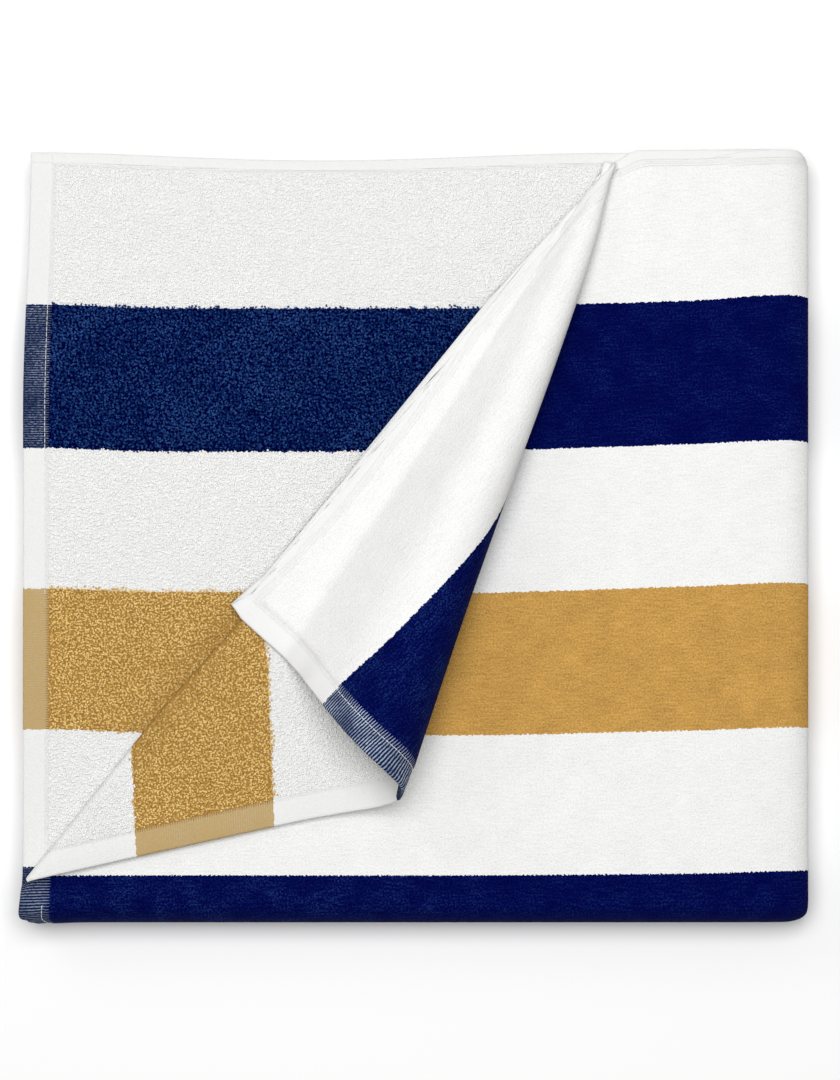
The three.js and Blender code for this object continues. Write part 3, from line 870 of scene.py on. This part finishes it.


# Terry loops
# The back of the cloth is a field of standing cotton loops, bent over at random, in the stripe's own colour,
# with painted shade and painted highlight.
# They show on the second layer and on the part of the top layer that is turned looped side up.

WHITE, NAVY, GOLD = 0, 1, 2
WHITE_LOOP_PITCH = 1.3
COLOURED_LOOP_PITCH = 1.0
LOOP_POINTS = 8
LOOP_FOOT = 0.5
LOOP_STRAY = 0.26
END_BARE = 12.9
SIDE_BARE = 6.9
scatter = np.random.default_rng(7)


def yarn_at(stripe, spill=0.0):
    """Yarn by the place across the towel: white, navy or gold, the coloured yarns spilling a little over."""
    a, b, c, d, e = STRIPE_EDGES
    navy = ((stripe > a - spill) & (stripe < b + spill)) | (stripe > e - spill)
    gold = (stripe > c - spill) & (stripe < d + spill)
    return np.where(navy, NAVY, np.where(gold, GOLD, WHITE))


def spread_over(faces):
    """Evenly spread places on triangles of the cloth, as triangle numbers and corner weights, one for each
    loop's share of the area, by a two-step golden sequence folded into the triangle."""
    a, b, c = (mid[faces[:, k]] for k in range(3))
    area = np.linalg.norm(np.cross(b - a, c - a), axis=1) / 2
    is_white = yarn_at(cloth_stripe[faces].mean(1)) == WHITE
    pitch_here = np.where(is_white, WHITE_LOOP_PITCH, COLOURED_LOOP_PITCH)
    number = np.floor(area / pitch_here ** 2 + scatter.uniform(0, 1, len(faces))).astype(int)
    which = np.repeat(np.arange(len(faces)), number)
    step = np.arange(len(which)) - np.repeat(np.cumsum(number) - number, number)
    s = (scatter.uniform(0, 1, len(faces))[which] + 0.7548777 * step) % 1
    t = (scatter.uniform(0, 1, len(faces))[which] + 0.5698403 * step) % 1
    over = s + t > 1
    s, t = np.where(over, 1 - s, s), np.where(over, 1 - t, t)
    return which, np.stack([1 - s - t, s, t], 1)


def loops(base, up, span, height, lean, thick, turn):
    """Loops as closed bent spindles: a half sine over the ground, leaning sideways, two rings of three."""
    side = np.stack([np.cos(turn), np.sin(turn), np.zeros_like(turn)], 1)
    side = side - up * (side * up).sum(1)[:, None]
    side = side / np.linalg.norm(side, axis=1)[:, None]
    cross = np.cross(up, side)
    t = np.array([0, 0.3, 0.7, 1.0])
    arch = np.sin(np.pi * t)
    path = (base[:, None] + side[:, None] * (span[:, None] * (t - 0.5))[..., None]
            + up[:, None] * (height[:, None] * arch)[..., None]
            + cross[:, None] * (lean[:, None] * arch)[..., None])
    way = (side[:, None] * span[:, None, None]
           + up[:, None] * (height[:, None] * np.pi * np.cos(np.pi * t))[..., None])
    way = way / np.linalg.norm(way, axis=2)[..., None]
    out = np.cross(way, cross[:, None])
    ring = np.radians([90, 210, 330])[None, None, :, None]
    round_it = np.cos(ring) * cross[:, None, None] - np.sin(ring) * out[:, 1:3, None]
    rings = path[:, 1:3, None] + thick[:, None, None, None] * round_it
    points = np.concatenate([path[:, :1], rings.reshape(len(base), 6, 3), path[:, 3:]], 1)
    faces = [(0, 1 + k, 1 + (k + 1) % 3) for k in range(3)]
    for k in range(3):
        a, b = 1 + k, 1 + (k + 1) % 3
        faces += [(a, a + 3, b + 3), (a, b + 3, b)]
    faces += [(4 + k, LOOP_POINTS - 1, 4 + (k + 1) % 3) for k in range(3)]
    faces = np.array(faces)
    numbered = faces[None] + (np.arange(len(base)) * LOOP_POINTS)[:, None, None]
    rise_share = np.concatenate([[0], np.full(6, 1.0), [0]])
    return points.reshape(-1, 3), numbered.reshape(-1, 3), rise_share


# Open part of the second layer left of the crease, and the turned part from the crease into the roll
OPEN_ANGLE = math.radians(52.5)
OPEN_WIDER = 6
CREASE_BARE = 12
ROLL_BARE = 240
plan_out = np.hypot(APEX[0] - mid[:, 0], APEX[1] - mid[:, 1])
plan_turn = np.arctan2(APEX[1] - mid[:, 1], APEX[0] - mid[:, 0])
left_open = second_layer & (plan_turn < OPEN_ANGLE + OPEN_WIDER / np.maximum(plan_out, 30))
turned = looped & ~second_layer & (cloth_line < crease_line - CREASE_BARE) & (plan_out > ROLL_BARE)
bare = (from_end < END_BARE) | (from_side < SIDE_BARE)
with_loops = left_open[mid_faces].all(1) | turned[mid_faces].all(1)
loop_faces = mid_faces[with_loops & ~bare[mid_faces].all(1)]
which, weight = spread_over(loop_faces)


def blended(values):
    """Values at the cloth's points carried to the loops."""
    shape = (-1, *[1] * (values.ndim - 1))
    return sum(values[loop_faces[which, k]] * weight[:, k].reshape(shape) for k in range(3))


clear = (blended(from_end) > END_BARE) & (blended(from_side) > SIDE_BARE)
which, weight = which[clear], weight[clear]
loop_up = -blended(mid_normal)
loop_up = loop_up / np.linalg.norm(loop_up, axis=1)[:, None]
loop_base = blended(mid) + loop_up * LOOP_FOOT
stray = scatter.normal(0, LOOP_STRAY, loop_base.shape)
loop_base = loop_base + stray - loop_up * (stray * loop_up).sum(1)[:, None]
loop_stripe = blended(cloth_stripe)
on_second = blended(second_layer.astype(float)) > 0.5


def yarn_group():
    """Cotton yarn of a loop: the loop's tone picks between a painted shaded and a painted lit copy of its
    colour, darkened towards its root by painted shade.
    """
    group, enter, leave = new_group(
        "loop_yarn",
        {"Loop": "Vector", "Shaded": "Color", "Lit": "Color", "Root Shade": "Float"},
        {"Colour": "Color"})
    parts = drawn_from(group, "ShaderNodeSeparateXYZ", enter["Loop"])
    depth = ranged(group, parts["Y"], (0.0, 1.0), (enter["Root Shade"], 1.0))
    tone = mixed(group, parts["X"], enter["Shaded"], enter["Lit"])
    feed(group, leave["Colour"], mixed(group, 1.0, tone, depth, "MULTIPLY"))
    return group


loop_yarn = yarn_group()
loop_u = blended(cloth_u)
many = len(loop_base)
spill = np.abs(scatter.normal(0, 0.2, many)) + 0.5 + 0.6 * puckers(loop_u * 1.7, 0.3)
loop_yarns = yarn_at(loop_stripe, spill)
white_loops = loop_yarns == WHITE
back_white = white_loops & on_second & (loop_stripe < 100)
# Along the crease painted shade darkens the loops, for the fold's shadow and the shaded weave where the loops
# part
crease_gap = blended(plan_out * (plan_turn - CREASE_ANGLE - DRAW_CREASE * drawn_in(plan_out) / plan_out))
crease_shade = 1 - 0.36 * bell(crease_gap + 3.5, 9.5)
# White loops are low and broad, and coloured loops stand higher
loop_span = scatter.uniform(1.0, 1.6, many) * np.where(white_loops, 1.05, 0.88)
loop_height = scatter.uniform(0.75, 1.2, many) * np.where(white_loops, 0.5, 0.95)
loop_lean = scatter.uniform(-0.8, 0.8, many)
loop_thick = scatter.uniform(0.38, 0.5, many) * np.where(white_loops, 1.05, 0.98)
loop_turn = scatter.uniform(0, 2 * np.pi, many)
loop_lit_share = scatter.uniform(0.0, 1.0, many)
# Broad soft patches of painted light and shade, where the loops lean to the light
loop_light_patches = (np.sin(loop_u / 7.3 + 1.6 * np.sin(loop_stripe / 9.1))
                + np.sin(loop_stripe / 6.1 + 1.9 * np.sin(loop_u / 12.7))
                + np.sin(loop_u / 17.9 - loop_stripe / 14.3)) / 3
# Painted shade and painted highlight: a shaded and a lit copy of each loop yarn's colour
WHITE_SHADED, WHITE_LIT = linear(249, 249, 248), linear(253, 253, 252)
NAVY_SHADED, NAVY_LIT = linear(4, 32, 92), linear(46, 82, 144)
GOLD_SHADED, GOLD_LIT = linear(208, 162, 82), linear(250, 216, 142)

# Each yarn: its two colours (painted shade and painted highlight), how rare the lit one is, how light its
# painted root shade is, how strong the painted light patches are
for name, chosen, shaded, lit, rare, root, patches in (
    ("loops_white_back", back_white, WHITE_SHADED, WHITE_LIT, 1.8, 0.98, 0.0),
    ("loops_white_front", white_loops & ~back_white, WHITE_SHADED, WHITE_LIT, 1.8, 0.98, 0.0),
    ("loops_navy", loop_yarns == NAVY, NAVY_SHADED, NAVY_LIT, 2.1, 0.6, 0.22),
    ("loops_gold", loop_yarns == GOLD, GOLD_SHADED, GOLD_LIT, 0.95, 0.58, 0.1),
):
    measures = (loop_base, loop_up, loop_span, loop_height, loop_lean, loop_thick, loop_turn)
    points, faces, up_share = loops(*(measure[chosen] for measure in measures))
    tone = np.repeat(np.clip(loop_lit_share[chosen] ** rare + patches * loop_light_patches[chosen], 0, 1), LOOP_POINTS)
    # Painted shade darkens each loop towards its root and along the crease
    root_and_crease_shade = np.tile(up_share, chosen.sum()) - np.repeat(1 - crease_shade[chosen], LOOP_POINTS)
    piece = mesh_of(name, points / 1000, faces, {"loop": np.stack([tone, root_and_crease_shade], 1)})
    finish, tree, shader = new_finish(name)
    loop_place = node(tree, "ShaderNodeUVMap", uv_map="loop").outputs[0]
    yarn = placed(tree, loop_yarn, {"Loop": loop_place, "Shaded": shaded, "Lit": lit, "Root Shade": root})
    feed(tree, shader["Base Color"], yarn["Colour"])
    shader["Roughness"].default_value = 0.9
    shader["Specular IOR Level"].default_value = 0.04
    piece.data.materials.append(finish)
    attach(piece, "root")


# Hem stitching
# White lock stitches hold down the turned hems: one line along each end and one along each selvage.
# Each stitch is a short thread that dips into the cloth at both ends.

STITCH_STEP = 2.7
STITCH_LONG = 2.75
STITCH_START = 0.6
STITCH_LIFT = 0.1
STITCH_ARCH = 0.13
STITCH_DIP = 0.06
THREAD = 0.18


def stitches(path, up, shown):
    """Closed spindles laid end to end along a line of points: four rings of five round each short arc."""
    gone = np.concatenate([[0], np.cumsum(np.linalg.norm(np.diff(path, axis=0), axis=1))])
    starts = np.arange(STITCH_START, gone[-1] - STITCH_STEP, STITCH_STEP)
    starts = starts[np.interp(starts, gone, shown) > 0.5]
    t = np.array([0, 0.15, 0.4, 0.6, 0.85, 1.0])
    where = starts[:, None] + STITCH_LONG * t
    at = np.stack([np.interp(where, gone, path[:, k]) for k in range(3)], -1)
    normal = np.stack([np.interp(where, gone, up[:, k]) for k in range(3)], -1)
    normal = normal / np.linalg.norm(normal, axis=2)[..., None]
    at = at + normal * (STITCH_LIFT + STITCH_ARCH * np.sin(np.pi * t) - STITCH_DIP)[None, :, None]
    way = at[:, -1] - at[:, 0]
    way = way / np.maximum(np.linalg.norm(way, axis=1), 1e-9)[:, None]
    side = np.cross(normal, way[:, None])
    side = side / np.maximum(np.linalg.norm(side, axis=2), 1e-9)[..., None]
    ring = np.linspace(0, 2 * np.pi, 6)[:-1][None, None, :, None]
    size = THREAD * np.array([0.75, 1.0, 1.0, 0.75])
    round_it = np.cos(ring) * side[:, 1:5, None] + np.sin(ring) * normal[:, 1:5, None]
    rings = at[:, 1:5, None] + size[None, :, None, None] * round_it
    points = np.concatenate([at[:, :1], rings.reshape(len(at), 20, 3), at[:, 5:]], 1)
    faces = [(0, 1 + (k + 1) % 5, 1 + k) for k in range(5)]
    for first in (1, 6, 11):
        for k in range(5):
            a, b = first + k, first + (k + 1) % 5
            faces += [(a, b + 5, a + 5), (a, b, b + 5)]
    faces += [(16 + k, 16 + (k + 1) % 5, 21) for k in range(5)]
    faces = np.array(faces)[None] + (np.arange(len(at)) * 22)[:, None, None]
    return points.reshape(-1, 3), faces.reshape(-1, 3)


OPEN_COLUMNS = 75
end_station = ray_index.shape[1] - 1 - END_STITCH
last_column, last_row = len(column_x) - 1, len(row_y) - 1
# Lines of points along the hems that show, and the side of the cloth that faces out
stitch_lines = (
    (ray_index[1:len(lines), end_station], 1),
    (stack_index[END_STITCH, last_top_row:], 1),
    (stack_index[last_column - END_STITCH, :last_top_row], -1),
    (ray_index[1:-1, SIDE_STITCH], 1),
    (stack_index[-OPEN_COLUMNS:, SIDE_STITCH][::-1], -1),
    (stack_index[:last_top_column, last_row - SIDE_STITCH], 1),
)
made_points, made_faces, so_far = [], [], 0
for line, way in stitch_lines:
    off = velour_off[line] if way > 0 else terry_off[line]
    across = np.minimum(cloth_stripe[line], WIDTH_USED - cloth_stripe[line])
    outward = way * mid_normal[line]
    points, faces = stitches(mid[line] + outward * off[:, None], outward, yarn_at(across) != GOLD)
    made_points.append(points)
    made_faces.append(faces + so_far)
    so_far += len(points)
stitching = mesh_of("hem_stitching", np.concatenate(made_points) / 1000, np.concatenate(made_faces), {})
thread, thread_tree, thread_shader = new_finish("white_thread")
thread_place = node(thread_tree, "ShaderNodeTexCoord").outputs["Object"]
twist = noise(thread_tree, thread_place, Scale=2500.0, Detail=1.0)
thread_tone = node(thread_tree, "ShaderNodeValToRGB")
thread_tone.color_ramp.elements[0].color = linear(208, 210, 213)
thread_tone.color_ramp.elements[1].color = linear(245, 246, 247)
feed(thread_tree, thread_tone.inputs["Fac"], twist)
feed(thread_tree, thread_shader["Base Color"], thread_tone.outputs["Color"])
thread_shader["Roughness"].default_value = 0.7
stitching.data.materials.append(thread)
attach(stitching, "root")
